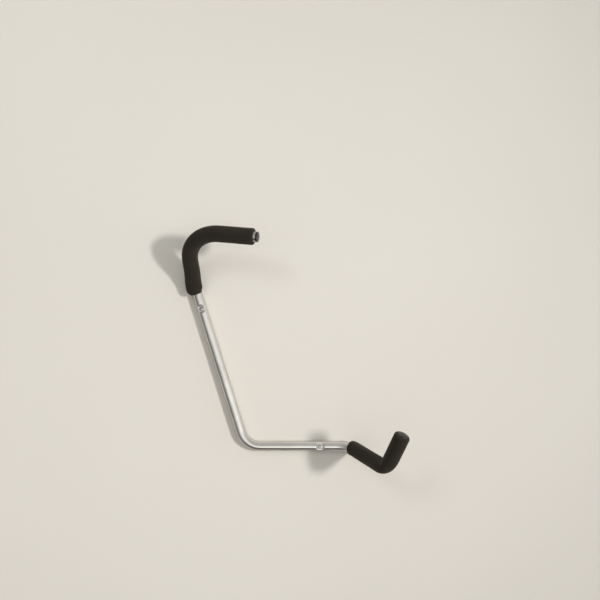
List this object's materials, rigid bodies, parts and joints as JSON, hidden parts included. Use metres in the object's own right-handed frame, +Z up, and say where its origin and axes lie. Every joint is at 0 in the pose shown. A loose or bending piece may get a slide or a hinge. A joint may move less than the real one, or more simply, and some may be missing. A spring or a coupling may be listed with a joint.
{
  "type": "bicycle wall rack",
  "caption": "Wall rack bent from a single round steel tube, screwed flat to a wall, with a foam-covered hook at each end to hold a bicycle frame.",
  "frame": {"origin": "where the lower wall screw's axis crosses the face of the wall", "axes": "+X to the right along the wall as seen from the room, +Y into the wall, +Z up"},
  "size_m": [0.4182, 0.2173, 0.4512],
  "materials": {
    "steel": "satin, polished along the tube",
    "foam": "matt closed-cell foam",
    "black_plastic": "glossy moulded",
    "zinc": "bright zinc plate",
    "nylon": "moulded nylon"
  },
  "bodies": {
    "root": {"rack_tube": "steel", "upper_foam_sleeve": "foam", "lower_foam_sleeve": "foam", "upper_end_cap": "black_plastic", "lower_end_cap": "black_plastic", "upper_wall_screw": "zinc", "lower_wall_screw": "zinc", "upper_wall_plug": "nylon", "lower_wall_plug": "nylon"}
  },
  "joints": []
}
